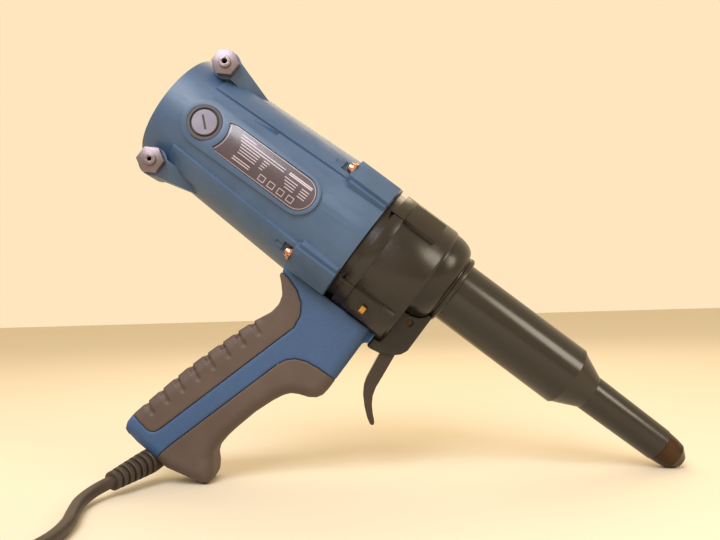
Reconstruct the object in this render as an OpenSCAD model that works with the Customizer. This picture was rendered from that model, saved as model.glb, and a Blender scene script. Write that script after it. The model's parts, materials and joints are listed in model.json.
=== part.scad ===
// Corded electric blind rivet gun, standing on its nose tip and the butt of its grip.
// Millimetres, +Z up, +X to the nose end. Most pieces are drawn along the motor axis, then laid over.

/* [Motor housing] */
// Length of the blue sleeve
sleeve_len = 140; // [120:1:160]
// Outer radius of the sleeve at its rear rim
sleeve_r_rear = 35.3; // [30:0.1:40]
// Outer radius of the sleeve at its front edge
sleeve_r_front = 41.5; // [38:0.1:46]
// Wall of the sleeve
sleeve_wall = 2.6; // [2:0.1:4]
// Height of the raised rails and the nameplate frame
rail_h = 1.6; // [0.8:0.1:3]

/* [Gearbox] */
// Radius of the gear case
case_r = 41; // [39:0.1:44]
// Where the gear case meets the gear plate
case_rear = 152.5; // [150:0.5:156]
// Front edge of the gear case's cylinder
case_front = 183; // [181:0.5:186]
// Distance of the spindle above the motor axis
spindle_up = 11; // [11:1:11]
// Front lip of the dome
dome_front = 201; // [199:0.5:204]

/* [Barrel and nose] */
// Outer radius of the barrel
barrel_r = 19.3; // [18:0.1:21]
// Front edge of the barrel
barrel_front = 286; // [270:1:300]
// Front edge of the nose sleeve
nose_front = 355; // [345:1:365]
// Radius of the nose sleeve at its front edge
nose_r = 10.4; // [10.2:0.1:11]
// Radius of the hole for the rivet's mandrel
mandrel_r = 1.6; // [1.2:0.1:2.4]

/* [Grip] */
// Half of the grip's width
grip_half = 17; // [15:0.5:20]
// Wall of the grip shells
grip_wall = 2.6; // [2:0.1:4]
// Number of grooves across the back strap
strap_grooves = 8; // [6:1:10]

/* [Trigger] */
// Thickness of the trigger lever
trigger_t = 12; // [9:0.5:13]

/* [Cord] */
// Diameter of the cord
cord_d = 7; // [6:0.5:8]
// Turns in each layer of the coil
coil_turns = 2; // [2:1:4]
// Layers of the coil
coil_layers = 4; // [2:1:4]

/* [Quality] */
// Facets on round parts
$fn = 48; // [24:8:96]

/* [Hidden] */
e = spindle_up;
nose_u = 366;
nose_w = e - 8.6;
pommel_u = 148.6;
pommel_w = -165.3;
pommel_r = 4.1;
lean_d = sqrt(pow(nose_u - pommel_u, 2) + pow(nose_w - pommel_w, 2));
tilt = atan2(nose_w - pommel_w, nose_u - pommel_u) + asin(pommel_r / lean_d);
lift = nose_u * sin(tilt) - nose_w * cos(tilt);
centre_x = 131.1;
cap_u = 28.5;
idler_w = -20;
pivot_u = 190.5;
pivot_w = -20.6;
rod_w = -43.6;
blue = [0.10, 0.24, 0.36];
black = [0.09, 0.08, 0.08];
rubber = [0.13, 0.11, 0.11];
steel = [0.62, 0.62, 0.60];
brass = [0.72, 0.52, 0.28];
copper = [0.72, 0.40, 0.24];

module lay() {
  translate([-centre_x, 0, lift]) rotate([0, tilt, 0]) children();
}

// A cylinder along the motor axis from u0 to u1, on an axis w above it
module bar(u0, u1, r, r2 = -1, w = 0) {
  translate([u0, 0, w]) rotate([0, 90, 0]) cylinder(h = u1 - u0, r1 = r, r2 = r2 < 0 ? r : r2);
}

// A cylinder across the tool from y0 to y1
module cross(u, w, y0, y1, r, r2 = -1) {
  translate([u, y0, w]) rotate([-90, 0, 0]) cylinder(h = y1 - y0, r1 = r, r2 = r2 < 0 ? r : r2);
}

// A side profile drawn in (u, w), pulled across the tool from y0 to y1
module side(y0, y1) {
  translate([0, y1, 0]) rotate([90, 0, 0]) linear_extrude(y1 - y0) children();
}

// A profile drawn as (length, radius), turned about an axis w above the motor's
module turned(w = 0) {
  translate([0, 0, w]) rotate([0, 90, 0]) rotate_extrude() rotate(90) mirror([0, 1, 0]) children();
}

function tooth(z, m, i) = let (p = 360 / z, r = z * m / 2, a = i * p) [
  [(r - 1.2 * m) * cos(a - 0.27 * p), (r - 1.2 * m) * sin(a - 0.27 * p)],
  [(r + 0.9 * m) * cos(a - 0.09 * p), (r + 0.9 * m) * sin(a - 0.09 * p)],
  [(r + 0.9 * m) * cos(a + 0.09 * p), (r + 0.9 * m) * sin(a + 0.09 * p)],
  [(r - 1.2 * m) * cos(a + 0.27 * p), (r - 1.2 * m) * sin(a + 0.27 * p)]
];

// A spur gear of z teeth and module m along the motor axis
module gear(z, m, u0, u1, w = 0, turn = 0) {
  translate([u0, 0, w]) rotate([0, 90, 0]) rotate(turn) linear_extrude(u1 - u0)
    polygon([for (i = [0:z - 1]) each tooth(z, m, i)]);
}

// A pipe swept along a list of points
function unit(v) = v / norm(v);
function ahead(p, i) = unit(p[min(i + 1, len(p) - 1)] - p[max(i - 1, 0)]);
function ring(p, i, r, s, up) = let (t = ahead(p, i), a = unit(cross(t, up)), b = cross(a, t))
  [for (k = [0:s - 1]) p[i] + r * cos(360 * k / s) * a + r * sin(360 * k / s) * b];
function pipe_facet(a, b, s) = [[a, b, b + s], [a, b + s, a + s]];
module pipe(p, r, s = 10, up = [0, 0, 1]) {
  n = len(p);
  polyhedron(
    points = [for (i = [0:n - 1]) each ring(p, i, r, s, up)],
    faces = concat(
      [[for (k = [0:s - 1]) s - 1 - k]],
      [for (i = [0:n - 2], k = [0:s - 1]) each pipe_facet(i * s + k, i * s + (k + 1) % s, s)],
      [[for (k = [0:s - 1]) (n - 1) * s + k]]
    )
  );
}
function smooth(q, i, t) = 0.5 * ((2 * q[i]) + (q[i + 1] - q[i - 1]) * t
  + (2 * q[i - 1] - 5 * q[i] + 4 * q[i + 1] - q[i + 2]) * t * t
  + (3 * q[i] - q[i - 1] - 3 * q[i + 1] + q[i + 2]) * t * t * t);
function route(q, n) = let (last = len(q) - 1, e = concat([2 * q[0] - q[1]], q, [2 * q[last] - q[last - 1]]))
  concat([for (i = [1:last], k = [0:n - 1]) smooth(e, i, k / n)], [q[last]]);
function helix(u0, u1, r, turns, w) = [for (i = [0:turns * 12])
  [u0 + (u1 - u0) * i / (turns * 12), r * cos(30 * i), w + r * sin(30 * i)]];

// ---- motor housing ----
module sleeve_skin(more) {
  bar(0, sleeve_len, sleeve_r_rear + more, sleeve_r_front + more);
}

// A slot-shaped plate with its ends rounded to r0 and r1
module stadium(u0, u1, r0, r1, y0, y1) {
  side(y0, y1) polygon(concat([for (a = [90:10:270]) [u0 + r0 * cos(a), r0 * sin(a)]],
    [for (a = [-90:10:90]) [u1 + r1 * cos(a), r1 * sin(a)]]));
}

module nosepiece_tower(s) {
  // stands on the side of the sleeve, narrows and sinks forward into it
  intersection() {
    side(-27, -3) union() {
      translate([14.8, s * 35.3]) circle(8.4);
      polygon([[10, s * 30], [44, s * 29], [44, s * 35.1], [18, s * 42]]);
    }
    translate([0, 0, -60]) linear_extrude(120) polygon([[1, 0], [1, -28], [21.5, -28], [44, -11], [44, 0]]);
  }
}

module motor_housing() {
  color(blue) lay() difference() {
    union() {
      sleeve_skin(0);
      intersection() {
        sleeve_skin(rail_h);
        for (a = [45, 135, 225, 315]) rotate([a, 0, 0]) translate([20, -7.5, 0]) cube([120, 15, 60]);
      }
      intersection() {
        sleeve_skin(rail_h);
        union() {
          stadium(cap_u, 95.6, 14, 12.7, -60, 0);
          cross(cap_u, 0, 0, 60, 14);
        }
      }
      for (a = [45, 135, 225, 315]) rotate([a, 0, 0]) {
        translate([112, -9, 34]) cube([27.6, 18, 11]);
        translate([114, -11.5, 35]) cube([25.2, 23, 7.8]);
      }
      nosepiece_tower(1);
      nosepiece_tower(-1);
    }
    bar(3, sleeve_len + 1, sleeve_r_rear - sleeve_wall + 0.13, sleeve_r_front - sleeve_wall);
    bar(-1, 2, 22);
    for (a = [15:30:345]) rotate([a, 0, 0]) translate([-1, -1.5, 14]) cube([5, 3, 16]);
    for (s = [0, 1]) mirror([0, s, 0]) cross(cap_u, 0, 20, 60, 10.45);
    difference() {
      stadium(46, 95.6, 10, 10.6, -60, -10);
      cross(cap_u, 0, -61, 0, 14.4);
      sleeve_skin(0.1);
    }
    for (a = [45, 135, 225, 315]) rotate([a, 0, 0]) {
      bar(100, 141, 2.05, -1, 42.6);
      bar(105, 112.4, 4.3, -1, 42.6);
    }
    for (s = [-1, 1]) cross(14.8, s * 35.3, -28, -18, 3.5);
  }
  color(blue) lay() difference() {
    bar(2, 13, 13);
    bar(1, 14, 11.02);
  }
}

module nameplate() {
  color([0.22, 0.18, 0.22]) lay() intersection() {
    difference() {
      stadium(46, 95.6, 9.8, 10.4, -60, -20);
      cross(cap_u, 0, -61, 0, 14.6);
      sleeve_skin(0.15);
    }
    sleeve_skin(0.9);
  }
}

module brush_cap(s) {
  color([0.2, 0.19, 0.19]) lay() mirror([0, s, 0]) difference() {
    union() {
      cross(cap_u, 0, 34, 37.9, 10.35);
      cross(cap_u, 0, 31, 38.5, 7.3);
    }
    translate([cap_u - 0.8, 37.3, -4.5]) cube([1.6, 5, 9]);
  }
}
module brush_cap_right() { brush_cap(1); }
module brush_cap_left() { brush_cap(0); }

module brush_holders() {
  color(brass) lay() for (s = [0, 1]) mirror([0, s, 0]) difference() {
    translate([cap_u - 4.6, 14, -5.6]) cube([9.2, 16.8, 11.2]);
    translate([cap_u - 3.3, 13, -4.3]) cube([6.6, 20, 8.6]);
  }
}

module carbon_brushes() {
  color([0.12, 0.12, 0.12]) lay() for (s = [0, 1]) mirror([0, s, 0])
    translate([cap_u - 3.2, 12.4, -4.2]) cube([6.4, 12.6, 8.4]);
}

module brush_springs() {
  color(steel) lay() for (s = [0, 1]) mirror([0, s, 0])
    pipe([for (i = [0:40]) [cap_u + 2.4 * cos(36 * i), 25.4 + 5.2 * i / 40, 2.4 * sin(36 * i)]],
      0.35, 6, [0, 1, 0]);
}

// ---- motor ----
module stator_core() {
  color(steel) lay() difference() {
    bar(48, 92, 33.4);
    bar(47, 93, 18.7);
    for (s = [0, 1]) mirror([0, s, 0]) translate([47, 0, 0]) rotate([0, 90, 0])
      rotate([0, 0, 50]) rotate_extrude(angle = 80) translate([20.5, 0]) square([7.5, 46]);
    translate([47, -30, -3]) cube([46, 60, 6]);
  }
}

module field_windings() {
  color(copper) lay() for (s = [0, 1]) mirror([0, s, 0]) translate([43, 0, 0]) rotate([0, 90, 0])
    rotate([0, 0, 52]) rotate_extrude(angle = 30) translate([20.8, 0]) square([6.9, 54]);
  color(copper) lay() for (s = [0, 1]) mirror([0, s, 0]) translate([43, 0, 0]) rotate([0, 90, 0])
    rotate([0, 0, 98]) rotate_extrude(angle = 30) translate([20.8, 0]) square([6.9, 54]);
}

module armature_shaft() {
  color(steel) lay() {
    bar(4, 146, 4);
    bar(146, 162, 2.4);
  }
}
module armature_core() {
  color(steel) lay() difference() {
    bar(48, 92, 18);
    bar(47, 93, 4);
    for (i = [0:11]) rotate([30 * i, 0, 0]) translate([47, -1, 13]) cube([46, 2, 6]);
  }
}
module armature_windings() {
  color(copper) lay() for (u = [42, 92.1]) difference() {
    bar(u, u + 5.9, 15.5);
    bar(u - 1, u + 7, 4.05);
  }
}
module commutator() {
  color(copper) lay() difference() {
    bar(18.5, 38.5, 12);
    bar(18, 39, 4);
    for (i = [0:23]) rotate([15 * i + 7.5, 0, 0]) translate([18, -0.25, 10.8]) cube([21, 0.5, 3]);
  }
}
module cooling_fan() {
  color(black) lay() difference() {
    union() {
      bar(104, 106, 30);
      bar(104, 116, 8);
      for (i = [0:9]) rotate([36 * i, 0, 0]) translate([105.5, -0.9, 7]) cube([10, 1.8, 22]);
    }
    bar(103, 117, 4);
  }
}
module motor_pinion() {
  color(steel) lay() difference() {
    gear(10, 0.8, 149, 161.5);
    bar(148, 162, 2.4);
  }
}
module bearing(u0, u1, r_in, r_out, w = 0) {
  color(steel) lay() difference() {
    bar(u0, u1, r_out, -1, w);
    bar(u0 - 1, u1 + 1, r_in, -1, w);
  }
}
module rear_bearing() { bearing(4, 12, 4.03, 11); }
module front_bearing() { bearing(130, 138, 4.03, 9.5); }

// ---- gearbox ----
module gear_plate() {
  color(black) lay() difference() {
    union() {
      bar(136, 140, 38.4);
      bar(140, 145, 38.7);
      bar(145, case_rear, case_r);
      bar(130, 138, 13);
      // raised band on each side, with a post at each end
      intersection() {
        bar(145.6, case_rear - 0.4, case_r + 0.8);
        translate([140, -50, -25.5]) cube([20, 100, 51]);
      }
      for (w = [-25.5, 23.5]) intersection() {
        bar(143, case_rear - 0.2, case_r + 1.4);
        translate([140, -50, w]) cube([20, 100, 2]);
      }
    }
    bar(129, 138, 9.52);
    bar(137, 143, 4.6);
    bar(142, 147, 35.5);
    bar(147, case_rear + 1, 38);
    bar(135, 138, 36);
  }
  color(black) lay() difference() {
    bar(135, 138.5, 13);
    bar(134, 139, 9.52);
  }
  color(black) lay() difference() {
    bar(141.5, 148, 8.2, -1, idler_w);
    bar(141, 149, 6.02, -1, idler_w);
  }
}

module dome(more) {
  turned(e) polygon(concat([[176, 0]],
    [for (a = [90:-9:0]) [184.5 + 12.2 * cos(a), 22.1 + more + 6.9 * sin(a)]],
    [[dome_front - 3.5, 22.1 + more], [dome_front - 3, 22.5 + more], [dome_front - 0.8, 22.5 + more],
    [dome_front, 21.6 + more], [dome_front, 0]]));
  bar(176, 184.5, 29 + more, -1, e);
}

module gear_case() {
  color(black) lay() difference() {
    union() {
      bar(case_rear, case_front - 2, case_r);
      bar(case_front - 2, case_front, case_r, case_r - 0.8);
      dome(0);
      // screw pads on the upper and lower sides
      for (a = [45, 315]) rotate([a, 0, 0]) translate([case_rear, -9, 30]) cube([21, 18, 13.2]);
      for (a = [135, 225]) rotate([a, 0, 0]) translate([case_rear, -9, 30]) cube([27, 18, 13.2]);
    }
    bar(case_rear - 1, 176, 38);
    bar(170, 187, 20.02, -1, e);
    bar(180, 190, 15.2, -1, e);
    bar(189, dome_front + 1, barrel_r - 0.38, -1, e);
    bar(175, 181.2, 6.02, -1, idler_w);
    for (a = [135, 225]) rotate([a, 0, 0]) {
      bar(161.9, 165.1, 3, -1, 43.6);
    }
  }
}

module gear_case_screws() {
  color(brass) lay() for (a = [135, 225]) rotate([a, 0, 0]) {
    bar(162, 165, 2.9, -1, 43.6);
  }
}

module idler_gear() {
  color(steel) lay() {
    gear(40, 0.8, 149.5, 160.5, idler_w, 4.5);
    gear(12, 1, 160.4, 175.4, idler_w, 0);
    bar(143, 181, 3.9, -1, idler_w);
  }
}
module idler_bushes() {
  bearing(142.5, 148, 3.95, 6, idler_w);
  bearing(176.2, 181, 3.95, 6, idler_w);
}
module nut_gear() {
  color(brass) lay() difference() {
    union() {
      gear(50, 1, 162.5, 175, e, 3.6);
      bar(174.9, 186.5, 14, -1, e);
    }
    bar(160, 188, 5.05, -1, e);
  }
}
module nut_bearing() { bearing(178.2, 186.9, 14.04, 20, e); }
module thrust_bearing() { bearing(175.4, 177.9, 14.3, 19.9, e); }
module limit_switch() {
  color(black) lay() {
    translate([142.2, -6, 22]) cube([6, 12, 8]);
    translate([144, -1.2, 19.4]) cube([1.2, 2.4, 2.7]);
  }
}

// ---- spindle and jaws ----
module pull_spindle() {
  color(steel) lay() difference() {
    union() {
      bar(164.3, 211, 5, -1, e);
      translate([210, 0, e]) rotate([0, 90, 0]) cylinder(h = 82, r = 8.66, $fn = 6);
      bar(291, 304, 7.2, -1, e);
    }
    bar(250, 305, 2, -1, e);
  }
}
module guide_bush() {
  color(brass) lay() difference() {
    bar(236, 254, 16.9, -1, e);
    translate([235, 0, e]) rotate([0, 90, 0]) cylinder(h = 20, r = 8.8, $fn = 6);
  }
}
module jaw_case() {
  color(steel) lay() turned(e) polygon([[294, 7.2], [294, 8.8], [345.5, 8.8], [346, 8.3], [346, 4.2],
    [334, 7.2]]);
}
module jaw(i) {
  color([0.35, 0.35, 0.36]) lay() translate([336, 0, e]) rotate([0, 90, 0]) rotate([0, 0, 120 * i + 4])
    rotate_extrude(angle = 112) polygon([[1.7, 0], [6.39, 0], [4.14, 9], [1.7, 9]]);
}
module jaw_1() { jaw(0); }
module jaw_2() { jaw(1); }
module jaw_3() { jaw(2); }
module jaw_pusher() {
  color(steel) lay() difference() {
    union() {
      bar(328, 332, 6.9, -1, e);
      bar(332, 335.6, 6, -1, e);
    }
    bar(327, 337, 1.8, -1, e);
  }
}
module jaw_spring() {
  color(steel) lay() pipe(helix(305, 327.5, 5.2, 6, e), 0.6, 6, [1, 0, 0]);
}

module barrel() {
  color(black) lay() difference() {
    union() {
      bar(189.1, dome_front + 0.6, barrel_r - 0.4, -1, e);
      bar(dome_front + 0.5, barrel_front, barrel_r, -1, e);
    }
    bar(188, barrel_front + 1, 17, -1, e);
  }
}
module nose_sleeve() {
  color(black) lay() difference() {
    turned(e) polygon([[276, 9.2], [276, 16.98], [barrel_front, 16.98], [barrel_front, 18.8],
      [barrel_front + 16.3, 11.3], [nose_front - 0.6, nose_r], [nose_front, nose_r - 0.5],
      [nose_front, 7.02], [349.5, 7.02], [349.5, 9.2]]);
  }
}
module nosepiece() {
  color(black) lay() difference() {
    turned(e) polygon([[348.5, 0], [348.5, 7], [nose_front, 7], [nose_front, 10], [361, 9.5], [nose_u, 8.6],
      [369.4, 5.8], [371, 4.5], [371, 0]]);
    bar(347, 372, mandrel_r, -1, e);
  }
}
module spare(s, hole) {
  color([0.30, 0.27, 0.27]) lay() difference() {
    union() {
      translate([14.8, -27.1, s * 35.3]) rotate([90, 0, 0]) rotate(30 * s)
        cylinder(h = 5.6, r = 8.08, $fn = 6);
      cross(14.8, s * 35.3, -34.2, -20, 3.45);
      cross(14.8, s * 35.3, -34, -32, 3.6);
    }
    cross(14.8, s * 35.3, -36, -18, hole);
  }
}
module spare_nosepiece_upper() { spare(1, 1.55); }
module spare_nosepiece_lower() { spare(-1, 1.3); }

module housing_screws() {
  color(copper) lay() for (a = [45, 135, 225, 315]) rotate([a, 0, 0]) difference() {
    union() {
      bar(108.3, 110.7, 2.6, 3.4, 42.6);
      bar(110.7, 135, 1.95, -1, 42.6);
    }
    translate([107.8, -0.5, 39]) cube([1.5, 1, 8]);
  }
}
module screw_washers() {
  color(copper) lay() for (a = [45, 135, 225, 315]) rotate([a, 0, 0]) difference() {
    bar(110.8, 112.2, 4, -1, 42.6);
    bar(110, 113, 2.05, -1, 42.6);
  }
}

// ---- grip ----
module grip_outline() {
  polygon([[108, -30], [110.5, -42.5], [116, -47.4], [120.6, -52.4], [122.3, -58], [121.5, -64.4],
    [116.7, -74.3], [112.6, -84.9], [108.8, -96.7], [105, -108.6], [101.5, -120.9], [98.5, -133.7],
    [95.6, -146.9], [92.9, -160.2], [92.8, -165.4], [94.4, -169.6], [98.4, -172.4], [104, -173.3],
    [118, -174], [127, -174.7], [140, -171.6], [pommel_u, pommel_w - pommel_r], [150.8, -168.8],
    [152.2, -167.2], [152.6, -165], [151.9, -161.6], [149, -157.2], [145.2, -153.4], [143.6, -149.4],
    [143.9, -143], [145.6, -132.8], [149.2, -117.5], [153.4, -106], [156.5, -99.6], [159.4, -96],
    [163.4, -93.8], [169.1, -91.7], [173, -89], [175.2, -85.4], [175.7, -80], [175.5, -46.5],
    [178.5, -44.5], [178.5, -30]]);
}
module strap_zone() {
  polygon([[80, -40], [112, -41.6], [118, -42.4], [126, -45.2], [132.4, -49.6], [136.4, -55.6],
    [137.6, -63.7], [134, -76], [110.9, -157], [109.4, -160.4], [106.4, -162.4], [100.3, -161.7],
    [80, -158]]);
}
module front_zone() {
  polygon([[118.5, -180], [119.9, -168.1], [121.6, -160.4], [142.4, -88], [144.8, -82.4], [149.4, -77.7],
    [155.9, -75], [164, -74], [190, -73.4], [190, -180]]);
}
module cavity() {
  polygon([[128, -46], [173, -46], [173, -73], [158, -78], [150, -84], [146, -98], [133, -152],
    [131, -166], [110, -166], [107, -160], [110, -140], [118, -110], [128, -78], [132, -62]]);
}
// Rounds the back edges and stops short of the sleeve and the gear case
module grip_body() {
  difference() {
    intersection() {
      children();
      union() {
        translate([112, -grip_half - 1, -70]) cube([80, 2 * grip_half + 2, 60]);
        translate([122, 0, -60]) rotate([0, 15.4 - 180, 0]) translate([0, 0, -8])
          linear_extrude(140) union() {
          translate([-60, -grip_half - 1]) square([50, 2 * grip_half + 2]);
          for (s = [-1, 1]) translate([-4.5, s * (grip_half - 11.6)]) circle(12);
          translate([-10, -grip_half + 11]) square([17.5, 2 * grip_half - 22]);
          translate([-12, -grip_half - 0.4]) square([8, 2 * grip_half + 0.8]);
        }
      }
    }
    sleeve_skin(0.05);
    intersection() {
      sleeve_skin(rail_h + 0.05);
      for (a = [135, 225]) rotate([a, 0, 0]) translate([20, -7.6, 0]) cube([120, 15.2, 60]);
    }
    for (a = [135, 225]) rotate([a, 0, 0]) {
      translate([111.9, -9.1, 30]) cube([28.2, 18.2, 15.1]);
      bar(104, 113, 4.4, -1, 42.6);
      translate([113.9, -11.6, 30]) cube([26.2, 23.2, 12.9]);
      translate([case_rear - 0.1, -9.1, 30]) cube([27.2, 18.2, 13.3]);
      bar(161, 166, 3.1, -1, 43.6);
    }
    bar(130, case_front + 0.2, case_r + 0.06);
    dome(0.1);
  }
}
module shell(s) {
  color(blue) lay() difference() {
    grip_body() mirror([0, s, 0]) side(0.02, grip_half) difference() {
      grip_outline();
      strap_zone();
      front_zone();
    }
    side(-grip_half + grip_wall, grip_half - grip_wall) cavity();
    strain_hole();
    translate([157, -5.6, -47]) cube([9.2, 11.2, 12]);
    bar(165, 179, 2.7, -1, rod_w);
    for (p = [[140, -52], [130.5, -110]]) cross(p[0], p[1], 8, 20, 2.2);
  }
}
module grip_right() { shell(1); }
module grip_left() { shell(0); }
module strain_hole() {
  translate([boot_u, 0, boot_w]) rotate([0, -16, 0]) translate([0, 0, -6]) cylinder(h = 16, r = 8.2);
}
module back_strap() {
  color(rubber) lay() difference() {
    grip_body() side(-grip_half - 0.3, grip_half + 0.3) intersection() {
      grip_outline();
      strap_zone();
    }
    side(-grip_half + grip_wall, grip_half - grip_wall) cavity();
    for (i = [0:strap_grooves - 1], s = [-1, 1])
      translate([116.6 - 3.1 * i, s * (grip_half - 2.2) - (s < 0 ? 2.7 : 0), -76.5 - 10.6 * i])
        rotate([0, -10, 0]) translate([-10, 0, -0.9]) cube([12.5, 2.7, 1.8]);
  }
}
module front_rubber() {
  color(rubber) lay() difference() {
    grip_body() side(-grip_half - 0.3, grip_half + 0.3) intersection() {
      grip_outline();
      front_zone();
    }
    side(-grip_half + grip_wall, grip_half - grip_wall) cavity();
    strain_hole();
  }
}
module grip_screws() {
  color(steel) lay() for (p = [[140, -52], [130.5, -110]]) {
    cross(p[0], p[1], 8, 15.6, 1.9);
    cross(p[0], p[1], 14.6, 16.2, 2.15);
  }
}

// ---- trigger ----
module trigger_housing() {
  color(black) lay() difference() {
    side(-9.5, 9.5) polygon([[175.9, -45.6], [176.6, -46.9], [181, -47], [188, -45.6], [194, -42.4],
      [198, -38.6], [199.8, -34.6], [199.8, -6], [176, -6]]);
    bar(150, case_front + 0.1, case_r + 0.06);
    dome(0.05);
    side(-trigger_t / 2 - 0.3, trigger_t / 2 + 0.3) polygon([[181.5, -52], [183.2, -14], [197.4, -14],
      [197.4, -36], [196, -52]]);
    cross(pivot_u, pivot_w, -12, 12, 1.8);
    bar(170, 190, 1.3, -1, rod_w);
    grip_keepout();
  }
}
module grip_keepout() {
  translate([160, -20, -60]) cube([18.6, 40, 44.6]);
}
module trigger() {
  color(black) lay() difference() {
    side(-trigger_t / 2, trigger_t / 2) union() {
      translate([pivot_u, pivot_w]) circle(3.1);
      polygon([[187.6, -21], [187.4, -44.1], [188.6, -53], [190, -62.4], [191.4, -66.8], [194.2, -71.4],
        [199.2, -76.7], [204.3, -80.9], [207.8, -83], [209.4, -83.2], [210.2, -82], [209.4, -80.3],
        [206.8, -78.2], [202.2, -73.2], [199.4, -68.6], [197.9, -63.4], [197.1, -55.2], [195.6, -42],
        [194.6, -34], [193.4, -21]]);
    }
    cross(pivot_u, pivot_w, -12, 12, 1.86);
  }
}
module trigger_pin() {
  color(black) lay() cross(pivot_u, pivot_w, -9.2, 9.2, 1.79);
}
module switch_rod() {
  color(steel) lay() {
    bar(164, 187, 1.2, -1, rod_w);
    bar(174, 175, 2.2, -1, rod_w);
  }
}
module trigger_spring() {
  color(steel) lay() pipe(helix(166.3, 173.6, 1.9, 5, rod_w), 0.25, 6, [1, 0, 0]);
}
module power_switch() {
  color(black) lay() difference() {
    union() {
      translate([150, -7.5, -66]) cube([17.8, 15, 17]);
      translate([158, -5, -50]) cube([7.8, 10, 8.3]);
    }
    bar(158.4, 172, 1.3, -1, rod_w);
  }
}
module control_board() {
  color([0.08, 0.3, 0.16]) lay() {
    side(-9.5, 9.5) polygon([[128, -92], [130, -92.6], [119.4, -132], [117.4, -131.4]]);
    side(-5, 5) polygon([[130.3, -96], [138, -98], [135.6, -107], [127.9, -105]]);
  }
}
module terminal_block() {
  color([0.7, 0.7, 0.66]) lay() translate([113, -6, -158]) cube([14, 12, 9]);
}

// ---- cord: laid on the floor, its spare length in one neat coil ----
boot_u = 118.7;
boot_w = -174.6;
boot_from = [boot_u * cos(tilt) + boot_w * sin(tilt) - centre_x, 0,
  lift - boot_u * sin(tilt) + boot_w * cos(tilt)];
boot_dir = unit([-0.43, -0.86, -0.17]);
boot_len = 40;
boot_yaw = atan2(boot_dir[1], boot_dir[0]);
boot_dip = acos(boot_dir[2]);
module strain_relief() {
  color(rubber) translate(boot_from) rotate([0, boot_dip, boot_yaw]) {
    rotate_extrude() polygon(concat([[0, -4], [7, -4], [7.4, 10], [7.2, 15]],
      [for (i = [0:4]) each [[5.9 - 0.35 * i, 15 + 5 * i], [5.9 - 0.35 * i, 16.6 + 5 * i],
        [7 - 0.45 * i, 16.6 + 5 * i], [6.9 - 0.45 * i, 20 + 5 * i]]], [[0, boot_len]]));
  }
}
boot_end = boot_from + boot_dir * boot_len;
coil_c = [-221, -175, 0];
coil_r = 37;
coil_step = cord_d + 0.05;
rest_z = cord_d / 2 + 0.1;
plug_at = [-258, -110, 0];
module cord() {
  color(rubber) pipe(route([boot_end, [-170, -46.5, 6.3], [-172, -62, 4.3], [-168.5, -80, rest_z],
    [-164, -98, rest_z], [-162, -118, rest_z], [-164.5, -138, rest_z], [-172.8, -157, rest_z],
    [-176.95, -176, rest_z]], 6), cord_d / 2, 10);
}
module cord_coil() {
  w = (coil_turns + 1) * coil_step;
  h = coil_layers * coil_step;
  color(rubber) translate(coil_c) rotate_extrude() translate([coil_r - w / 2, rest_z - cord_d / 2])
    polygon([[2, 0], [w - 2, 0], [w, 2], [w, h - 2], [w - 2, h], [2, h], [0, h - 2], [0, 2]]);
}
module cord_tail() {
  z = rest_z + (coil_layers - 1) * coil_step;
  x = coil_c[0] - coil_r - coil_step / 2;
  color(rubber) pipe(route([[x, -175, z], [x, -164, z], [x + 0.5, -152, z - 1.6], [-258.4, -136, 17],
    [-258, -120, 12.2], [-258, -108, 11]], 5), cord_d / 2, 10);
}
module plug_body() {
  color(black) translate(plug_at) rotate(-90) {
    translate([0, 0, 11]) rotate([0, -90, 0]) cylinder(h = 16, r1 = 6, r2 = 9);
    translate([-38, -17, 0.1]) cube([24, 34, 22]);
    translate([-50, -14, 3]) cube([14, 28, 16]);
  }
}
module plug_pins() {
  color(steel) for (s = [-1, 1]) translate(plug_at) rotate(-90)
    translate([-50, 9.5 * s, 11]) rotate([0, -90, 0]) cylinder(h = 19, r = 2.4);
}

motor_housing();
nameplate();
brush_cap_right();
brush_cap_left();
brush_holders();
carbon_brushes();
brush_springs();
stator_core();
field_windings();
armature_shaft();
armature_core();
armature_windings();
commutator();
cooling_fan();
motor_pinion();
rear_bearing();
front_bearing();
gear_plate();
gear_case();
gear_case_screws();
idler_gear();
idler_bushes();
nut_gear();
nut_bearing();
thrust_bearing();
limit_switch();
pull_spindle();
guide_bush();
jaw_case();
jaw_1();
jaw_2();
jaw_3();
jaw_pusher();
jaw_spring();
barrel();
nose_sleeve();
nosepiece();
spare_nosepiece_upper();
spare_nosepiece_lower();
housing_screws();
screw_washers();
grip_right();
grip_left();
back_strap();
front_rubber();
grip_screws();
trigger_housing();
trigger();
trigger_pin();
switch_rod();
trigger_spring();
power_switch();
control_board();
terminal_block();
strain_relief();
cord();
cord_coil();
cord_tail();
plug_body();
plug_pins();
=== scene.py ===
"""A corded electric blind rivet gun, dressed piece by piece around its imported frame.

It is laid out as an add-on: the settings hold the sizes and colours, each operator makes a group
of pieces, the panel lists the operators, and main() runs them in order.
"""

import json
import math

import bmesh
import bpy
import numpy as np
from bpy.props import FloatProperty, IntProperty, PointerProperty, StringProperty
from mathutils import Matrix, Vector


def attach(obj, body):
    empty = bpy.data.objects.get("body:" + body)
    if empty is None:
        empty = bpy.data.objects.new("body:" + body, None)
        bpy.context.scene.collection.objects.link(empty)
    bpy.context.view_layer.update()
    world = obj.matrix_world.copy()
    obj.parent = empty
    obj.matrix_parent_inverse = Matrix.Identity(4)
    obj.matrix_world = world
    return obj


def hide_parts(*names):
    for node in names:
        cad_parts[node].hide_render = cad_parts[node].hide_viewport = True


bl_info = {
    "name": "Blind rivet gun",
    "version": (1, 0, 0),
    "blender": (4, 5, 0),
    "location": "View3D > Sidebar > Rivet gun",
    "description": "Builds the visible pieces of a corded blind rivet gun around its frame",
    "category": "Add Mesh",
}

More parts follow.
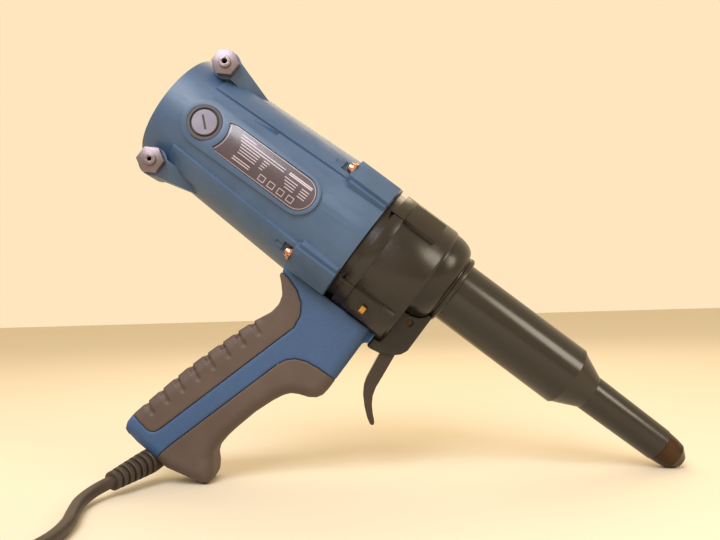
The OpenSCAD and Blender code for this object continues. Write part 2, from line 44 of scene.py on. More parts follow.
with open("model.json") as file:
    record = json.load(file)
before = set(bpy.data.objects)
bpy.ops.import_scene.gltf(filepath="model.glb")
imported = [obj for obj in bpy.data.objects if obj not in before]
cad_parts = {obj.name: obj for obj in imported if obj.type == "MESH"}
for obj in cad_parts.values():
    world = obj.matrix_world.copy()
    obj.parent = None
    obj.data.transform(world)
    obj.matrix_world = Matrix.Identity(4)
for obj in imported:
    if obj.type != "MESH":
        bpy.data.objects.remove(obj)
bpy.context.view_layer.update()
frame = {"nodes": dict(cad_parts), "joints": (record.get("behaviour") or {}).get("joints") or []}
MM = 0.001

# ---- the tool's own frame: u forward along the motor, y across, w up from the motor's axis ----
MOTOR = next(j for j in frame["joints"] if j["name"] == "armature_spin")
MOTOR_PIVOT_U = 70
FORWARD = Vector(MOTOR["axis"]).normalized()
ACROSS = Vector((0, 1, 0))
UPWARD = FORWARD.cross(ACROSS)
REAR = Vector(MOTOR["pos_m"]) - FORWARD * MOTOR_PIVOT_U * MM
LAY = Matrix.Translation(REAR) @ Matrix((FORWARD, ACROSS, UPWARD)).transposed().to_4x4()
TOOL_TO_ROW = LAY @ Matrix.Scale(MM, 4)

# ---- sizes that the pieces share, in millimetres along the tool's own frame ----
SLEEVE_LEN = 140
SLEEVE_R_REAR = 35.3
SLEEVE_R_FRONT = 41.5
CAP_U = 28.5
PLATE_FRONT_U = 95.6
BOOT_START = (118.7, 0, -174.6)
BOOT_DIR = Vector((-0.43, -0.86, -0.17)).normalized()
BOOT_LEN = 40
BOOT_COLLAR = 13
COIL_CENTRE = (-221, -175, 0)
PLUG_X = -258
CLEAR_OF_FLOOR = 0.1
GRIP_HALF_WIDTH = 17
GROOVES = 8
GROOVE_STEP = Vector((-3.1, 0, -10.6))
GROOVE_FIRST = Vector((114.9, 0, -76.0))
GROOVE_ALONG = Vector((0.955, 0, -0.297))
GROOVE_HALF_WIDTH = 1.7
GROOVE_DEPTH = 1.1
INK_STAND = 0.9
INK_THICK = 0.06


class RivetGunColours(bpy.types.PropertyGroup):
    housing: StringProperty(name="Housing", description="Blue nylon, sRGB hex", default="#344d6c")
    case: StringProperty(name="Gear case", description="Glossy black nylon, sRGB hex", default="#110a06")
    rubber: StringProperty(name="Grip rubber", description="Soft rubber, sRGB hex", default="#463832")
    cord: StringProperty(name="Cord", description="Cord jacket, sRGB hex", default="#332a22")
    tube: StringProperty(name="Barrel", description="Black tube, sRGB hex", default="#0e0906")
    floor: StringProperty(name="Floor", description="Floor and wall, sRGB hex", default="#d8cdb8")


class RivetGunSizes(bpy.types.PropertyGroup):
    cord_diameter: FloatProperty(
        name="Cord diameter", description="Across the cord's jacket", default=0.007, unit="LENGTH"
    )
    coil_radius: FloatProperty(
        name="Coil radius", description="Middle of the coil's turns", default=0.037, unit="LENGTH"
    )
    coil_turns: FloatProperty(
        name="Coil turns", description="Turns in the whole coil", default=7.5
    )
    grip_round: FloatProperty(
        name="Grip rounding", description="Radius along the grip's front edges", default=0.0075,
        unit="LENGTH",
    )
    boot_ribs: IntProperty(name="Boot ribs", description="Ribs on the strain relief", default=6)


# ---- helpers ----
def linear(hex_colour):
    """sRGB hex to the linear colour that shaders read."""
    channels = [int(hex_colour.lstrip("#")[i:i + 2], 16) / 255 for i in (0, 2, 4)]
    return [c / 12.92 if c <= 0.04045 else ((c + 0.055) / 1.055) ** 2.4 for c in channels] + [1.0]


def add(tree, kind, inputs=None, **settings):
    """Adds one shader node with its settings, its constants and its links."""
    node = tree.nodes.new("ShaderNode" + kind)
    for key, value in settings.items():
        setattr(node, key, value)
    for socket, value in (inputs or {}).items():
        if isinstance(value, bpy.types.NodeSocket):
            tree.links.new(value, node.inputs[socket])
        else:
            node.inputs[socket].default_value = value
    return node


def surface(name, colours, roughness, grain_mm, grain_depth_mm, patch_mm=18.0, metallic=0.0,
            stretch=(1, 1, 1), streak_mm=None, **constants):
    """A material with slow colour patches, grain in its bump, and roughness that follows both."""
    mat = bpy.data.materials.new(name)
    mat.use_nodes = True
    tree = mat.node_tree
    shader = tree.nodes["Principled BSDF"]
    place = add(tree, "TexCoord").outputs["Object"]
    turned = add(tree, "Mapping", {"Vector": place, "Scale": stretch,
                                   "Rotation": (0, math.asin(-FORWARD.z), 0)}).outputs["Vector"]
    patches = add(tree, "TexNoise", {"Vector": turned, "Scale": 1 / (patch_mm * MM), "Detail": 3.0})
    grain = add(tree, "TexNoise", {"Vector": turned, "Scale": 1 / (grain_mm * MM), "Detail": 2.0,
                                   "Roughness": 0.55})
    spread = add(tree, "MapRange", {"Value": patches.outputs["Fac"], "From Min": 0.3,
                                    "From Max": 0.7})
    tint = add(tree, "Mix", {"Factor": spread.outputs["Result"]}, data_type="RGBA")
    tint.inputs["A"].default_value = linear(colours[0])
    tint.inputs["B"].default_value = linear(colours[1])
    colour = tint.outputs["Result"]
    if len(colours) > 2:
        speckle = add(tree, "MapRange", {"Value": grain.outputs["Fac"], "From Min": 0.56,
                                         "From Max": 0.72, "To Max": 0.55})
        fleck = add(tree, "Mix", {"Factor": speckle.outputs["Result"], "A": colour},
                    data_type="RGBA")
        fleck.inputs["B"].default_value = linear(colours[2])
        colour = fleck.outputs["Result"]
    tree.links.new(colour, shader.inputs["Base Color"])
    height = grain.outputs["Fac"]
    if streak_mm:
        streaks = add(tree, "TexNoise", {"Vector": turned, "Scale": 1 / (streak_mm * MM),
                                         "Detail": 5.0, "Distortion": 0.6})
        line = add(tree, "MapRange", {"Value": streaks.outputs["Fac"], "From Min": 0.62,
                                      "From Max": 0.68, "To Max": 0.5})
        rough_in = add(tree, "Math", {0: patches.outputs["Fac"], 1: line.outputs["Result"]},
                       operation="ADD").outputs["Value"]
    else:
        rough_in = add(tree, "Math", {0: patches.outputs["Fac"], 1: height},
                       operation="MULTIPLY").outputs["Value"]
    rough = add(tree, "MapRange", {"Value": rough_in, "From Min": 0.15, "From Max": 0.75,
                                   "To Min": roughness[0], "To Max": roughness[1]})
    tree.links.new(rough.outputs["Result"], shader.inputs["Roughness"])
    bump = add(tree, "Bump", {"Height": height, "Distance": grain_depth_mm * MM, "Strength": 1.0})
    tree.links.new(bump.outputs["Normal"], shader.inputs["Normal"])
    shader.inputs["Metallic"].default_value = metallic
    for socket, value in constants.items():
        shader.inputs[socket.replace("_", " ")].default_value = value
    return mat


def finish_piece(name, bm, mat, body, stands_for=(), matrix=TOOL_TO_ROW, sharp=35, clean=True):
    """Turns a bmesh drawn in the tool's frame into a finished piece that rides on its body."""
    if clean:
        bmesh.ops.remove_doubles(bm, verts=bm.verts, dist=0.0005)
        bmesh.ops.recalc_face_normals(bm, faces=bm.faces)
    bm.transform(matrix)
    mesh = bpy.data.meshes.new(name)
    bm.to_mesh(mesh)
    bm.free()
    piece = bpy.data.objects.new(name, mesh)
    bpy.context.scene.collection.objects.link(piece)
    mesh.materials.append(mat)
    mesh.shade_smooth()
    mesh.set_sharp_from_angle(angle=math.radians(sharp))
    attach(piece, body)
    if stands_for:
        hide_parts(*stands_for)
    return piece


def bring(obj, matrix=TOOL_TO_ROW):
    """A CAD node's mesh as a merged bmesh in the tool's frame."""
    bm = bmesh.new()
    bm.from_mesh(obj.data)
    bmesh.ops.remove_doubles(bm, verts=bm.verts, dist=1e-6)
    bm.transform(matrix.inverted())
    return bm


def remeshed(bm, voxel_mm, passes):
    """The same solid with its edges softened: remeshed to small voxels, then smoothed."""
    mesh = bpy.data.meshes.new("soften")
    bm.to_mesh(mesh)
    bm.free()
    work = bpy.data.objects.new("soften", mesh)
    bpy.context.scene.collection.objects.link(work)
    voxels = work.modifiers.new("voxels", "REMESH")
    voxels.mode = "VOXEL"
    voxels.voxel_size = voxel_mm
    out = bmesh.new()
    out.from_object(work, bpy.context.evaluated_depsgraph_get())
    bpy.data.objects.remove(work)
    bpy.data.meshes.remove(mesh)
    for _ in range(passes):
        bmesh.ops.smooth_vert(out, verts=out.verts, factor=0.5, use_axis_x=True,
                              use_axis_y=True, use_axis_z=True)
    return out


def bevelled(bm, width, segments=3, angle=38):
    """The same solid with its flat faces rejoined and its sharp edges rounded."""
    bmesh.ops.dissolve_limit(bm, angle_limit=math.radians(1.5), verts=bm.verts, edges=bm.edges)
    edges = [e for e in bm.edges if len(e.link_faces) == 2
             and e.calc_face_angle(0) > math.radians(angle)]
    bmesh.ops.bevel(bm, geom=edges, offset=width, affect="EDGES", segments=segments,
                    profile=0.5, material=-1, clamp_overlap=True)
    return bm


def spun(profile, steps=64, axis_w=0.0):
    """A closed outline of (u, radius) pairs turned once about an axis along the tool."""
    bm = bmesh.new()
    verts = [bm.verts.new((u, 0, r)) for u, r in profile]
    edges = [bm.edges.new((a, b)) for a, b in zip(verts, verts[1:] + verts[:1])]
    bmesh.ops.spin(bm, geom=verts + edges, axis=(1, 0, 0), cent=(0, 0, 0), dvec=(0, 0, 0),
                   angle=math.tau, steps=steps, use_merge=True, use_duplicate=False)
    bmesh.ops.translate(bm, verts=bm.verts, vec=(0, 0, axis_w))
    return bm


def smooth_route(points, steps):
    """Catmull-Rom points through a given route, as the frame's own cord follows it."""
    pts = [Vector(p) for p in points]
    ends = [2 * pts[0] - pts[1]] + pts + [2 * pts[-1] - pts[-2]]
    out = []
    for i in range(1, len(pts)):
        a, b, c, d = ends[i - 1], ends[i], ends[i + 1], ends[i + 2]
        for k in range(steps):
            t = k / steps
            out.append(0.5 * (2 * b + (c - a) * t + (2 * a - 5 * b + 4 * c - d) * t * t
                              + (3 * b - a - 3 * c + d) * t ** 3))
    return out + [pts[-1]]


# ---- materials ----
def blue_nylon():
    """Blue glass-filled nylon from a spark-eroded mould: a fine even grain, soft broad shine."""
    c = bpy.context.scene.rivet_gun_colours.housing
    return surface("blue_nylon_spark_grain", (c, "#3b5474"), (0.42, 0.58), 0.9, 0.05, IOR=1.53)


def blue_nylon_coarse():
    """The grip's blue nylon, the same colour from a coarser grained mould with pale specks."""
    return surface("blue_nylon_coarse_grain", ("#24426a", "#294870", "#3c5b83"), (0.55, 0.7), 0.8,
                   0.06, IOR=1.53)


def black_nylon():
    """Black nylon from a polished mould, glossy, with light rubbing marks from handling."""
    c = bpy.context.scene.rivet_gun_colours.case
    return surface("black_nylon_polished", (c, "#170e09"), (0.16, 0.34), 2.2, 0.006,
                   streak_mm=4.0, IOR=1.53)


def black_nylon_matt():
    """Black nylon from a grained mould, dull and even."""
    return surface("black_nylon_matt", ("#0f0a07", "#140e0a"), (0.45, 0.6), 0.8, 0.04, IOR=1.53)


def trigger_nylon():
    """Brown-black nylon worn satin where fingers pull it."""
    return surface("trigger_nylon_satin", ("#241a12", "#2c2017"), (0.32, 0.5), 1.0, 0.03, IOR=1.53)


def black_tube():
    """Black anodised aluminium, satin, with faint marks along its length."""
    c = bpy.context.scene.rivet_gun_colours.tube
    return surface("aluminium_black_anodised", (c, "#120c08"), (0.2, 0.28), 1.6, 0.0015,
                   IOR=1.6)


def oxide_steel():
    """Oil-blackened steel, brown-grey, with a fine turned grain."""
    return surface("steel_black_oxide", ("#6b6066", "#7a6e73"), (0.32, 0.48), 0.6, 0.02,
                   metallic=0.75)


def dark_steel():
    """Oil-blackened steel, near black, polished by use at its tip."""
    return surface("steel_oil_black", ("#3a2c20", "#4a3826"), (0.24, 0.36), 0.6, 0.008,
                   metallic=0.85)


def soft_rubber():
    """Soft-touch rubber, dull brown-black, with a fine grain and paler rubbed patches."""
    c = bpy.context.scene.rivet_gun_colours.rubber
    return surface("rubber_soft_touch", (c, "#4f403a"), (0.55, 0.7), 0.8, 0.04, IOR=1.5)


def cord_rubber():
    """Rubber cord jacket, matt, drawn smooth along its length."""
    c = bpy.context.scene.rivet_gun_colours.cord
    return surface("rubber_cord_jacket", (c, "#3c3128"), (0.5, 0.66), 0.8, 0.03, IOR=1.5)


def bright_steel():
    """Ground steel, bright, with fine grinding lines."""
    return surface("steel_ground", ("#a8a7a3", "#b9b8b4"), (0.22, 0.36), 0.5, 0.01,
                   stretch=(1, 0.15, 1), metallic=1.0)


def tool_steel():
    """Hardened tool steel, darker and duller than the ground parts."""
    return surface("steel_hardened", ("#5f5f62", "#6d6c6e"), (0.3, 0.42), 0.6, 0.015,
                   metallic=1.0)


def turned_brass():
    """Turned brass, warm, with fine tool lines."""
    return surface("brass_turned", ("#b58a4c", "#c29a5c"), (0.24, 0.38), 0.5, 0.012,
                   metallic=1.0)


def wound_copper():
    """Varnished copper wire, drawn as a close winding."""
    return surface("copper_varnished", ("#a05a34", "#b46c42"), (0.3, 0.45), 0.7, 0.15,
                   stretch=(0.1, 1, 1), metallic=0.9)


def copper_plate():
    """Copper-coloured plating on steel screws, bright on the edges."""
    return surface("steel_copper_plated", ("#b98468", "#c8967a"), (0.2, 0.34), 0.5, 0.01,
                   metallic=1.0)


def pressed_carbon():
    """Pressed carbon, sooty and dull."""
    return surface("carbon_pressed", ("#1b1b1c", "#242425"), (0.6, 0.75), 0.6, 0.04)


def laminated_steel():
    """Stacked steel sheets, seen as fine lines across the stack."""
    return surface("steel_laminated", ("#6c6b69", "#7b7a78"), (0.35, 0.5), 0.8, 0.08,
                   stretch=(1, 0.05, 0.05), metallic=0.9)


def plate_foil():
    """Printed foil under clear lacquer, dark plum-grey with a soft gloss."""
    return surface("foil_lacquered", ("#3b323c", "#443945"), (0.25, 0.36), 1.5, 0.008,
                   Coat_Weight=0.5, Coat_Roughness=0.15)


def plate_print():
    """Silver-grey ink on the foil."""
    return surface("ink_silver", ("#a79ca6", "#b3a8b1"), (0.35, 0.5), 1.0, 0.01, metallic=0.2)


def cap_face_painted_highlight():
    """Dark moulded cap whose flat face is coloured light grey as a painted highlight, for the light it
    catches.
    """
    return surface("bakelite_painted_highlight", ("#6c6a7c", "#7d7a8c"), (0.3, 0.45), 0.7, 0.02,
                   metallic=0.35)


def cap_ring():
    """Darker rim of the moulded cap."""
    return surface("bakelite_rim", ("#37323a", "#423c45"), (0.35, 0.5), 0.7, 0.02)


def circuit_green():
    """Lacquered glass-fibre board."""
    return surface("fibreglass_green", ("#0f4a2a", "#155836"), (0.3, 0.45), 0.8, 0.02)


def pale_nylon():
    """Undyed nylon, slightly yellow and waxy."""
    return surface("nylon_undyed", ("#cfcbbd", "#d8d4c6"), (0.4, 0.52), 0.9, 0.02)


def stage_paint():
    """Matt painted board under and behind the tool."""
    c = bpy.context.scene.rivet_gun_colours.floor
    return surface("board_painted", (c, c), (0.7, 0.8), 1.5, 0.01, patch_mm=200)


_made = {}


def made(maker):
    """Each material is made once, when a piece first asks for it."""
    if maker not in _made:
        _made[maker] = maker()
    return _made[maker]


NODE_FINISH = {
    blue_nylon: ["motor_housing"],
    blue_nylon_coarse: ["grip_right", "grip_left"],
    black_nylon: ["gear_plate", "gear_case"],
    black_nylon_matt: ["trigger_housing", "cooling_fan", "limit_switch", "power_switch",
                       "plug_body"],
    trigger_nylon: ["trigger"],
    black_tube: ["barrel", "nose_sleeve"],
    oxide_steel: ["spare_nosepiece_upper", "spare_nosepiece_lower"],
    dark_steel: ["nosepiece", "trigger_pin"],
    plate_foil: ["nameplate"],
    soft_rubber: ["back_strap", "front_rubber"],
    cord_rubber: ["strain_relief", "cord", "cord_coil", "cord_tail"],
    bright_steel: ["armature_shaft", "motor_pinion", "rear_bearing", "front_bearing", "idler_gear",
                   "nut_bearing", "thrust_bearing", "pull_spindle", "jaw_case", "jaw_pusher",
                   "jaw_spring", "brush_springs", "grip_screws", "switch_rod",
                   "trigger_spring", "plug_pins"],
    tool_steel: ["jaw_1", "jaw_2", "jaw_3"],
    turned_brass: ["brush_holders", "idler_bushes", "nut_gear", "guide_bush",
                   "gear_case_screws"],
    wound_copper: ["field_windings", "armature_windings", "commutator"],
    pressed_carbon: ["carbon_brushes"],
    laminated_steel: ["stator_core", "armature_core"],
    circuit_green: ["control_board"],
    pale_nylon: ["terminal_block"],
    copper_plate: ["housing_screws", "screw_washers"],
}


class RIVETGUN_OT_camera(bpy.types.Operator):
    """Set the camera that the tool is looked at with"""

    bl_idname = "rivet_gun.camera"
    bl_label = "Camera"

    def execute(self, context):
        data = bpy.data.cameras.new("camera")
        data.sensor_fit = "HORIZONTAL"
        data.sensor_width = 36
        data.lens = 36.8646
        camera = bpy.data.objects.new("camera", data)
        right = Vector((0.99959718, 0.00453947, -0.02801561))
        up = Vector((0.02820452, -0.04897638, 0.99840163))
        back = Vector((0.00316011, -0.99878962, -0.04908469))
        turn = Matrix((right, up, back)).transposed().to_4x4()
        camera.matrix_world = Matrix.Translation((REAR.x + 0.1092, -0.44981, 0.10185)) @ turn
        context.scene.collection.objects.link(camera)
        context.scene.camera = camera
        return {"FINISHED"}


class RIVETGUN_OT_cord(bpy.types.Operator):
    """Lay the cord on the floor, wind its spare length into a coil and end it in its plug"""

    bl_idname = "rivet_gun.cord"
    bl_label = "Cord"

    def execute(self, context):
        sizes = context.scene.rivet_gun_sizes
        d = sizes.cord_diameter
        step = d + 0.05 * MM
        rest_z = d / 2 + CLEAR_OF_FLOOR * MM
        exit_at = TOOL_TO_ROW @ Vector(BOOT_START) + BOOT_DIR * BOOT_LEN * MM
        centre = Vector(COIL_CENTRE) * MM
        outer = sizes.coil_radius + step
        lead = [exit_at] + [Vector(p) * MM for p in (
            (-170, -46.5, 6.3), (-172, -62, 4.3), (-168.5, -80, 3.6), (-164, -98, 3.6),
            (-162, -118, 3.6), (-164.5, -138, 3.6), (-172.8, -157, 3.6))]
        lead.append(centre + Vector((outer, 0, rest_z)))
        points = smooth_route(lead, 4)[:-1]
        per_turn = 24
        for i in range(int(sizes.coil_turns * per_turn) + 1):
            t = i / per_turn
            layer = t / 2
            full = round(layer)
            # the cord climbs a layer within a tenth of a turn each side of every second turn
            climb = min(max((t - 2 * full) / 0.16 + 0.5, 0), 1) if full > 0 else 1
            z = rest_z + (full - 1 + climb * climb * (3 - 2 * climb)) * step if full > 0 else rest_z
            r = outer - step * abs((t % 4) - 4 * ((t % 4) > 2))
            a = -math.tau * t
            points.append(centre + Vector((r * math.cos(a), r * math.sin(a), z)))
        last = points[-1]
        plug_x = PLUG_X * MM
        tail = [last, last + Vector((0, 0.011, 0)), last + Vector((0.0005, 0.023, -0.0016))]
        tail += [Vector((plug_x - 0.0004, -0.136, 0.017)), Vector((plug_x, -0.120, 0.0122)),
                 Vector((plug_x, -0.108, 0.011))]
        points += smooth_route(tail, 4)[1:]
        curve = bpy.data.curves.new("cord_jacket", "CURVE")
        curve.dimensions = "3D"
        spline = curve.splines.new("POLY")
        spline.points.add(len(points) - 1)
        for p, at in zip(spline.points, points):
            p.co = (*at, 1)
        spline.use_smooth = True
        curve.bevel_depth = d / 2
        curve.bevel_resolution = 5
        curve.use_fill_caps = True
        curve.materials.append(made(cord_rubber))
        cord = bpy.data.objects.new("cord_jacket", curve)
        context.scene.collection.objects.link(cord)
        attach(cord, "gun")
        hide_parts("cord", "cord_coil", "cord_tail")
        return {"FINISHED"}


class RIVETGUN_OT_stage(bpy.types.Operator):
    """Lay a plain pale floor and set soft studio light"""

    bl_idname = "rivet_gun.stage"
    bl_label = "Stage"

    def execute(self, context):
        bm = bmesh.new()
        bmesh.ops.create_grid(bm, x_segments=2, y_segments=2, size=6)
        mesh = bpy.data.meshes.new("floor")
        bm.to_mesh(mesh)
        bm.free()
        floor = bpy.data.objects.new("floor", mesh)
        mesh.materials.append(made(stage_paint))
        context.scene.collection.objects.link(floor)
        world = bpy.data.worlds.new("studio")
        world.use_nodes = True
        sky = world.node_tree.nodes["Background"]
        sky.inputs["Color"].default_value = linear("#ffe6be")
        sky.inputs["Strength"].default_value = 1.0
        context.scene.world = world
        context.scene.view_settings.view_transform = "Standard"
        for name, at, size, power, tone in (
            ("key_light", (-0.35, -0.9, 1.0), 0.8, 17, "#f2f6ff"),
            ("side_light", (0.9, -0.7, 0.6), 0.5, 4, "#fff2dc"),
            ("back_light", (0.1, 0.8, 1.0), 0.9, 5, "#ffe8c6"),
        ):
            data = bpy.data.lights.new(name, "AREA")
            data.shape = "DISK"
            data.size = size
            data.energy = power
            data.color = linear(tone)[:3]
            light = bpy.data.objects.new(name, data)
            aim = Vector((0, 0, 0.12)) - Vector(at)
            light.matrix_world = (Matrix.Translation(at)
                                  @ aim.to_track_quat("-Z", "Y").to_matrix().to_4x4())
            context.scene.collection.objects.link(light)
        return {"FINISHED"}


class RIVETGUN_OT_finishes(bpy.types.Operator):
    """Give every frame node the material of its real piece"""

    bl_idname = "rivet_gun.finishes"
    bl_label = "Finishes"

    def execute(self, context):
        for maker, names in NODE_FINISH.items():
            for name in names:
                mesh = frame["nodes"][name].data
                mesh.materials.clear()
                mesh.materials.append(made(maker))
        return {"FINISHED"}


def on_skin(u, w, stand):
    """Where the sleeve's right side lies at (u, w), stand millimetres proud of it."""
    r = SLEEVE_R_REAR + (SLEEVE_R_FRONT - SLEEVE_R_REAR) * u / SLEEVE_LEN + stand
    return Vector((u, -math.sqrt(r * r - w * w), w))


class RIVETGUN_OT_brush_caps(bpy.types.Operator):
    """Turn each brush cap with its rim, its groove and slot coloured black as painted shade, and its
    face coloured light grey as a painted highlight
    """

    bl_idname = "rivet_gun.brush_caps"
    bl_label = "Brush caps"

    def execute(self, context):
        profile = [(31, 0.01), (31, 7.2), (34, 7.2), (34, 10.35), (37.6, 10.35), (38.0, 9.95),
                   (38.0, 8.5), (37.7, 8.2), (37.0, 8.1), (37.0, 7.4), (38.3, 7.35), (38.7, 6.95),
                   (38.8, 0.01)]
        for node, side in (("brush_cap_right", -1), ("brush_cap_left", 1)):
            bm = spun(profile, 72)
            slot = bmesh.ops.create_cube(bm, size=1, matrix=Matrix.Translation((38.6, 0, 0))
                                         @ Matrix.Diagonal((0.6, 1.1, 8.4, 1)))["verts"]
            slot_shade_faces = {f for v in slot for f in v.link_faces}
            for face in bm.faces:
                mid = face.calc_center_median()
                reach = math.hypot(mid.y, mid.z)
                # the groove and slot faces take black nylon as painted shade, the face takes the light
                # grey painted highlight, and the rim keeps the cap's own dark colour
                face.material_index = 2 if face in slot_shade_faces or (
                    mid.x < 37.3 and 7.2 < reach < 8.3) else (1 if reach < 7.4 else 0)
            bmesh.ops.rotate(bm, verts=bm.verts, cent=(0, 0, 0),
                             matrix=Matrix.Rotation(math.radians(-side * 48), 3, "X"))
            stand = Matrix.Rotation(math.radians(90 * side), 4, "Z")
            place = TOOL_TO_ROW @ Matrix.Translation((CAP_U, 0, 0)) @ stand
            piece = finish_piece(node + "_turned", bm, made(cap_ring), "gun",
                                 [node], place)
            # light grey on the cap's face: a painted highlight
            piece.data.materials.append(made(cap_face_painted_highlight))
            # black nylon on the cap's groove and slot: painted shade
            piece.data.materials.append(made(black_nylon_matt))
        return {"FINISHED"}


class RIVETGUN_OT_housing(bpy.types.Operator):
    """Round the edges of the motor housing, gear case, gear plate and spare nosepieces"""

    bl_idname = "rivet_gun.housing"
    bl_label = "Housing"

    def execute(self, context):
        for node, maker, slot, width in (
            ("motor_housing", blue_nylon, "blue_housing_plastic", 0.5),
            ("gear_case", black_nylon, "black_moulding", 0.5),
            ("gear_plate", black_nylon, "black_moulding", 0.4),
            ("spare_nosepiece_upper", oxide_steel, "black_steel", 0.35),
            ("spare_nosepiece_lower", oxide_steel, "black_steel", 0.35),
        ):
            bm = bevelled(bring(frame["nodes"][node]), width)
            finish_piece(node + "_moulding", bm, made(maker), "gun", [node], clean=False)
        return {"FINISHED"}


# the grip's outline from under the trigger housing, down its front, to the rear of its butt
GRIP_FRONT = [
    (175.5, -30), (175.5, -46.5), (175.7, -80), (175.2, -85.4), (173, -89), (169.1, -91.7),
    (163.4, -93.8), (159.4, -96), (156.5, -99.6), (153.4, -106), (149.2, -117.5), (145.6, -132.8),
    (143.9, -143), (143.6, -149.4), (145.2, -153.4), (149, -157.2), (151.9, -161.6),
    (152.6, -165), (152.2, -167.2), (148.6, -169.4), (140, -171.6), (127, -174.7), (118, -174),
    (104, -173.3), (98.4, -172.4),
]


def round_front(bm, radius, half):
    """Draws the sides in towards the grip's front and butt, along a quarter round."""
    co = np.array([v.co for v in bm.verts])
    uw = co[:, [0, 2]]
    gap = np.full(len(co), 1e9)
    for a, b in zip(GRIP_FRONT, GRIP_FRONT[1:]):
        a, b = np.array(a), np.array(b)
        t = np.clip(((uw - a) @ (b - a)) / ((b - a) @ (b - a)), 0, 1)
        gap = np.minimum(gap, np.linalg.norm(uw - a - t[:, None] * (b - a), axis=1))
    d = np.clip(gap, 0, radius)
    narrow = radius - np.sqrt(np.maximum(radius ** 2 - (radius - d) ** 2, 0))
    for v, n in zip(bm.verts, narrow):
        v.co.y *= (half - n) / half


def press_grooves(bm):
    """Presses pill-shaped grooves across the strap's back and down both its sides."""
    for v in bm.verts:
        for i in range(GROOVES):
            offset = Vector((v.co.x, 0, v.co.z)) - GROOVE_FIRST - GROOVE_STEP * i
            run = offset.dot(GROOVE_ALONG)
            gap = (offset - GROOVE_ALONG * min(max(run, -6), 8.5)).length
            if gap < GROOVE_HALF_WIDTH:
                depth = GROOVE_DEPTH * math.sqrt(1 - (gap / GROOVE_HALF_WIDTH) ** 2)
                # the sides are pressed inwards, and the back edge is notched forwards
                if abs(v.co.y) > 9:
                    v.co.y -= math.copysign(depth, v.co.y)
                if run < 3:
                    v.co += GROOVE_ALONG * depth
                break


class RIVETGUN_OT_grip(bpy.types.Operator):
    """Mould the grip's blue shells, its rubber back strap and its rubber front"""

    bl_idname = "rivet_gun.grip"
    bl_label = "Grip"

    def execute(self, context):
        radius = context.scene.rivet_gun_sizes.grip_round / MM
        for node, maker, slot in (
            ("grip_right", blue_nylon_coarse, "blue_housing_plastic"),
            ("grip_left", blue_nylon_coarse, "blue_housing_plastic"),
            ("back_strap", soft_rubber, "grip_rubber"),
            ("front_rubber", soft_rubber, "grip_rubber"),
        ):
            bm = remeshed(bring(frame["nodes"][node]), 0.75, 3)
            round_front(bm, radius, GRIP_HALF_WIDTH)
            if node == "back_strap":
                press_grooves(bm)
            finish_piece(node + "_moulding", bm, made(maker), "gun", [node], sharp=70,
                         clean=False)
        return {"FINISHED"}


class RIVETGUN_OT_trigger(bpy.types.Operator):
    """Mould the trigger lever and its housing with soft edges"""

    bl_idname = "rivet_gun.trigger"
    bl_label = "Trigger"

    def execute(self, context):
        for node, maker, body, voxel, passes in (
            ("trigger", trigger_nylon, "trigger_lever", 0.45, 5),
            ("trigger_housing", black_nylon_matt, "gun", 0.5, 3),
        ):
            bm = remeshed(bring(frame["nodes"][node]), voxel, passes)
            finish_piece(node + "_moulding", bm, made(maker), body, [node],
                         sharp=70, clean=False)
        return {"FINISHED"}


class RIVETGUN_OT_strain_relief(bpy.types.Operator):
    """Turn the tapered ribbed boot that the cord leaves the grip through"""

    bl_idname = "rivet_gun.strain_relief"
    bl_label = "Strain relief"

    def execute(self, context):
        ribs = context.scene.rivet_gun_sizes.boot_ribs
        pitch = (BOOT_LEN - BOOT_COLLAR) / ribs
        profile = [(-4, 3.0), (-4, 6.2), (2, 6.6), (7, 7.2), (BOOT_COLLAR - 3, 7.4),
                   (BOOT_COLLAR - 0.6, 7.3), (BOOT_COLLAR - 0.1, 6.9)]
        for i in range(ribs):
            u, r, core = BOOT_COLLAR + pitch * i, 7.2 - 0.32 * i, 5.0 - 0.2 * i
            profile += [(u, core), (u + pitch * 0.36, core), (u + pitch * 0.38, r - 0.4),
                        (u + pitch * 0.46, r), (u + pitch * 0.9, r - 0.1),
                        (u + pitch * 0.98, r - 0.5)]
        profile += [(BOOT_LEN, 4.6), (BOOT_LEN, 3.0)]
        bm = spun(profile, 48)
        turn = BOOT_DIR.to_track_quat("X", "Z").to_matrix().to_4x4()
        start = TOOL_TO_ROW @ Vector(BOOT_START)
        finish_piece("ribbed_boot", bm, made(cord_rubber), "gun",
                     ["strain_relief"], Matrix.Translation(start) @ turn @ Matrix.Scale(MM, 4))
        return {"FINISHED"}


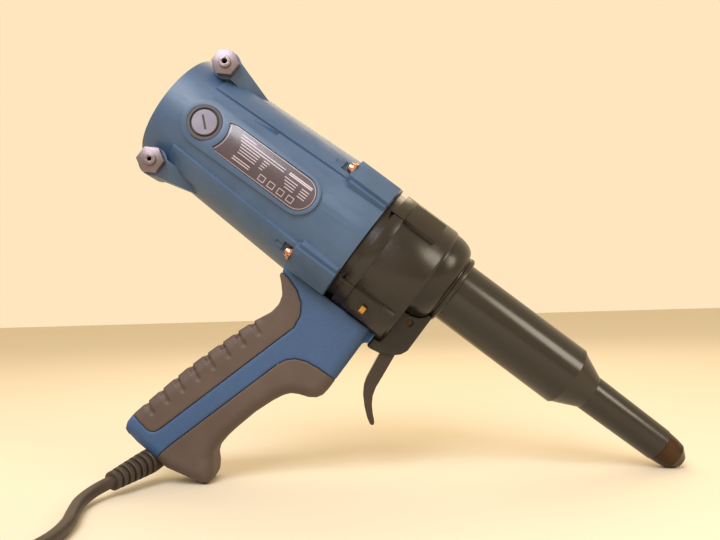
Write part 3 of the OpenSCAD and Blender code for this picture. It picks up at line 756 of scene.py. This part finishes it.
class RIVETGUN_OT_nameplate(bpy.types.Operator):
    """Lay the foil nameplate with its border and plain printed bars"""

    bl_idname = "rivet_gun.nameplate"
    bl_label = "Nameplate"

    def patch(self, bm, u0, u1, w0, w1):
        """A thin patch of ink from (u0, w0) to (u1, w1) that follows the sleeve's skin."""
        cells = max(1, round(abs(w1 - w0) / 1.0))
        lengths = max(1, round(abs(u1 - u0) / 4.0))
        grid = bmesh.ops.create_grid(bm, x_segments=lengths, y_segments=cells, size=0.5)["verts"]
        for v in grid:
            u = u0 + (u1 - u0) * (v.co.x + 0.5)
            w = w0 + (w1 - w0) * (v.co.y + 0.5)
            v.co = on_skin(u, w, INK_STAND)
        faces = list({f for v in grid for f in v.link_faces})
        raised = bmesh.ops.extrude_face_region(bm, geom=faces)["geom"]
        for v in [g for g in raised if isinstance(g, bmesh.types.BMVert)]:
            v.co = on_skin(v.co.x, v.co.z, INK_STAND + INK_THICK)

    def execute(self, context):
        plate = frame["nodes"]["nameplate"].data
        plate.materials.clear()
        plate.materials.append(made(plate_foil))
        bm = bmesh.new()
        rows = [(7.6, 50, 60), (6.0, 50.5, 82), (4.4, 51.5, 82), (2.8, 53, 66), (1.2, 53.5, 66),
                (-0.4, 54, 66), (-2.0, 54, 66)]
        for w, u0, u1 in rows:
            self.patch(bm, u0, u1, w, w - 0.5)
        for i, w in enumerate((2.8, 1.2, -0.4, -2.0)):
            self.patch(bm, 69, 73 - i * 0.5, w, w - 0.5)
            self.patch(bm, 84 + i, 93, w, w - 0.5)
            self.patch(bm, 96, 101, w, w - 0.5)
        for w in (6.4, 5.4):
            self.patch(bm, 85, 101, w, w - 0.7)
        for w in (-5.0, -6.4):
            self.patch(bm, 53, 65, w, w - 0.6)
        for i in range(4):
            u = 72 + 6.6 * i
            for a, b, c, d in ((0, 4.2, 0, 0.4), (0, 4.2, 3.2, 3.6), (0, 0.4, 0, 3.6),
                               (3.8, 4.2, 0, 3.6)):
                self.patch(bm, u + a, u + b, -4.4 - c, -4.4 - d)
        # a thin border just inside the plate's round front, its sides and the cap's bite
        edge = [(PLATE_FRONT_U + 9.5 * math.sin(math.radians(a)), 9.5 * math.cos(math.radians(a)))
                for a in range(0, 181, 10)]
        bite = [(CAP_U + 15.6 * math.cos(math.radians(a)), 15.6 * math.sin(math.radians(a)))
                for a in range(-37, 38, 2)]
        outline = edge + bite + edge[:1]
        for (u0, w0), (u1, w1) in zip(outline, outline[1:]):
            across = Vector((w0 - w1, u1 - u0)).normalized() * 0.14
            cells = bmesh.ops.create_grid(bm, x_segments=6, y_segments=1, size=0.5)["verts"]
            for v in cells:
                t, side = v.co.x + 0.5, 2 * v.co.y
                v.co = on_skin(u0 + (u1 - u0) * t + across.x * side,
                               w0 + (w1 - w0) * t + across.y * side, INK_STAND + 0.05)
        finish_piece("nameplate_print", bm, made(plate_print), "gun")
        return {"FINISHED"}


OPERATORS = (
    RIVETGUN_OT_camera,
    RIVETGUN_OT_cord,
    RIVETGUN_OT_stage,
    RIVETGUN_OT_finishes,
    RIVETGUN_OT_brush_caps,
    RIVETGUN_OT_housing,
    RIVETGUN_OT_grip,
    RIVETGUN_OT_trigger,
    RIVETGUN_OT_strain_relief,
    RIVETGUN_OT_nameplate,
)


class RIVETGUN_PT_pieces(bpy.types.Panel):
    """Lists the operators that build the tool"""

    bl_idname = "RIVETGUN_PT_pieces"
    bl_label = "Blind rivet gun"
    bl_space_type = "VIEW_3D"
    bl_region_type = "UI"
    bl_category = "Rivet gun"

    def draw(self, context):
        for group in (context.scene.rivet_gun_colours, context.scene.rivet_gun_sizes):
            for name in group.bl_rna.properties.keys():
                if name not in ("rna_type", "name"):
                    self.layout.prop(group, name)
        for operator in OPERATORS:
            self.layout.operator(operator.bl_idname)


CLASSES = (RivetGunColours, RivetGunSizes, *OPERATORS, RIVETGUN_PT_pieces)


def register():
    for cls in CLASSES:
        bpy.utils.register_class(cls)
    bpy.types.Scene.rivet_gun_colours = PointerProperty(type=RivetGunColours)
    bpy.types.Scene.rivet_gun_sizes = PointerProperty(type=RivetGunSizes)


def unregister():
    del bpy.types.Scene.rivet_gun_sizes
    del bpy.types.Scene.rivet_gun_colours
    for cls in reversed(CLASSES):
        bpy.utils.unregister_class(cls)


def main():
    register()
    for operator in OPERATORS:
        group, name = operator.bl_idname.split(".")
        getattr(getattr(bpy.ops, group), name)()


if __name__ == "__main__":
    main()
